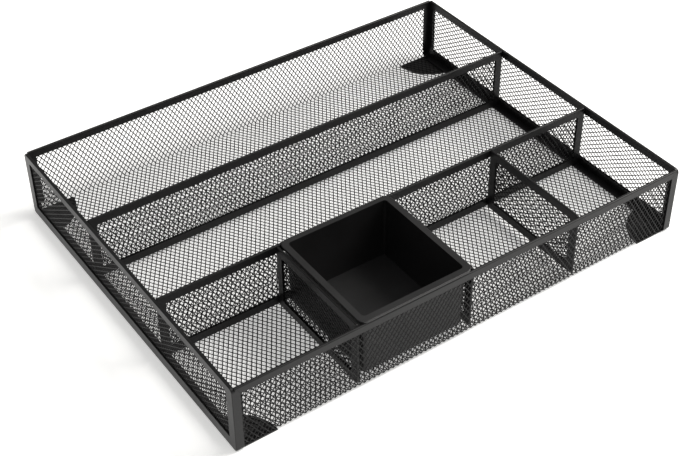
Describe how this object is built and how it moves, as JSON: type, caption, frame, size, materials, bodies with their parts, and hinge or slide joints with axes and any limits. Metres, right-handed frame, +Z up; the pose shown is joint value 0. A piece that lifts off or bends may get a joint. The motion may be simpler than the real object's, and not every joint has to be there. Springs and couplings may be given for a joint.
{
  "type": "desk organizer",
  "caption": "Low rectangular wire-mesh drawer organizer with framed ends, long and short mesh dividers, and a smooth moulded bin that lifts out of a front bay.",
  "frame": {"origin": "middle of the footprint, on the surface the corner pads rest on", "axes": "+X along the long side towards the end with the empty front bays, +Y towards the full-width rear bay, +Z up; the bin hangs in the second front bay from -X"},
  "size_m": [0.387, 0.302, 0.0592],
  "materials": {
    "frame_coat": "black satin powder coat on thin folded steel",
    "mesh_coat": "black satin powder coat on expanded steel mesh",
    "bin_plastic": "smooth black moulded plastic with a soft satin sheen",
    "foot": "dull black rubber"
  },
  "bodies": {
    "organizer": {"left_end_frame": "frame_coat", "right_end_frame": "frame_coat", "front_top_rail": "frame_coat", "back_top_rail": "frame_coat", "rear_divider_frame": "frame_coat", "front_divider_frame": "frame_coat", "left_divider_frame": "frame_coat", "centre_divider_frame": "frame_coat", "right_divider_frame": "frame_coat", "mesh_tray": "mesh_coat", "left_end_mesh": "mesh_coat", "right_end_mesh": "mesh_coat", "rear_divider_mesh": "mesh_coat", "front_divider_mesh": "mesh_coat", "left_divider_mesh": "mesh_coat", "centre_divider_mesh": "mesh_coat", "right_divider_mesh": "mesh_coat", "foot_front_left": "foot", "foot_front_right": "foot", "foot_back_left": "foot", "foot_back_right": "foot", "left_end_binding": "frame_coat", "right_end_binding": "frame_coat"},
    "bin": {"bin": "bin_plastic"}
  },
  "joints": [
    {"name": "bin_lift", "type": "slide", "parent": "organizer", "child": "bin", "axis": [0, 0, 1], "range_m": [0, 0.075]}
  ]
}
